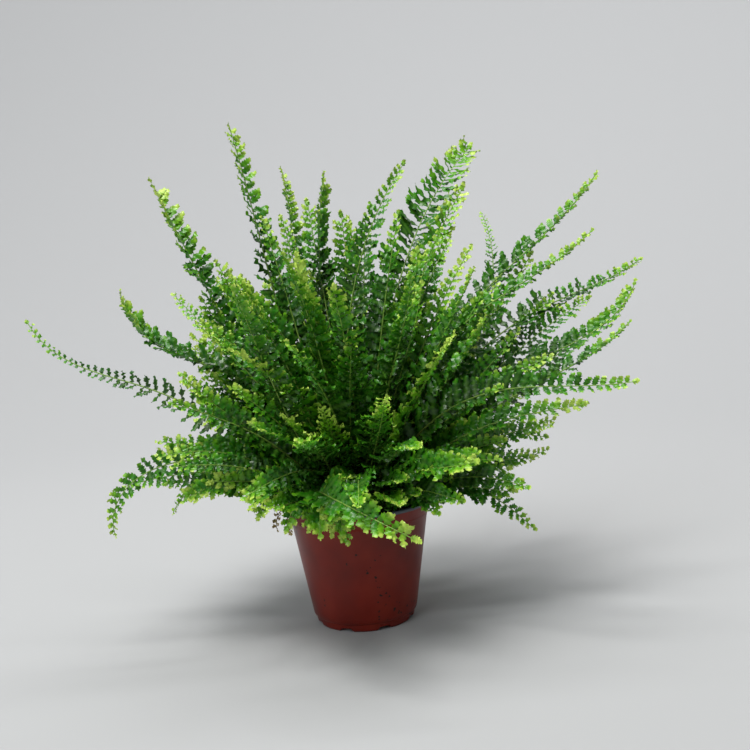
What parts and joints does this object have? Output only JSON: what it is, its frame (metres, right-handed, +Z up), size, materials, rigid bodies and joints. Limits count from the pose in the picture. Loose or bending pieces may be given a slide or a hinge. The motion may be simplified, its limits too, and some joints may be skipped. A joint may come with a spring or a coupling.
{
  "type": "potted fern",
  "caption": "Small potted fern: arching fronds of ruffled leaflets fan out from a crown in the soil of a thin round nursery pot.",
  "frame": {"origin": "centre of the pot's underside, on the surface it stands on", "axes": "+Z up along the pot's axis, +X to the viewer's right and +Y away from the viewer"},
  "size_m": [0.2844, 0.2058, 0.2088],
  "materials": {
    "pot_plastic": "satin",
    "peat": "rough, damp",
    "crown_fibre": "rough, fibrous",
    "frond_green": "soft satin"
  },
  "bodies": {
    "root": {"pot": "pot_plastic", "soil": "peat", "crown": "crown_fibre", "frond_01": "frond_green", "frond_02": "frond_green", "frond_03": "frond_green", "frond_04": "frond_green", "frond_05": "frond_green", "frond_06": "frond_green", "frond_07": "frond_green", "frond_08": "frond_green", "frond_09": "frond_green", "frond_10": "frond_green", "frond_11": "frond_green", "frond_12": "frond_green", "frond_13": "frond_green", "frond_14": "frond_green", "frond_15": "frond_green", "frond_16": "frond_green", "frond_17": "frond_green", "frond_18": "frond_green", "frond_19": "frond_green", "frond_20": "frond_green", "frond_21": "frond_green", "frond_22": "frond_green", "frond_23": "frond_green", "frond_24": "frond_green", "frond_25": "frond_green", "frond_26": "frond_green", "frond_27": "frond_green", "frond_28": "frond_green", "frond_29": "frond_green", "frond_30": "frond_green", "frond_31": "frond_green", "frond_32": "frond_green", "frond_33": "frond_green", "frond_34": "frond_green", "frond_35": "frond_green", "frond_36": "frond_green", "frond_37": "frond_green", "frond_38": "frond_green", "frond_39": "frond_green", "frond_40": "frond_green", "frond_41": "frond_green", "frond_42": "frond_green", "frond_43": "frond_green", "frond_44": "frond_green", "frond_45": "frond_green", "frond_46": "frond_green", "frond_47": "frond_green", "frond_48": "frond_green", "frond_49": "frond_green", "frond_50": "frond_green", "frond_51": "frond_green", "frond_52": "frond_green", "frond_53": "frond_green", "frond_54": "frond_green", "frond_55": "frond_green", "frond_56": "frond_green", "frond_57": "frond_green"}
  },
  "joints": []
}
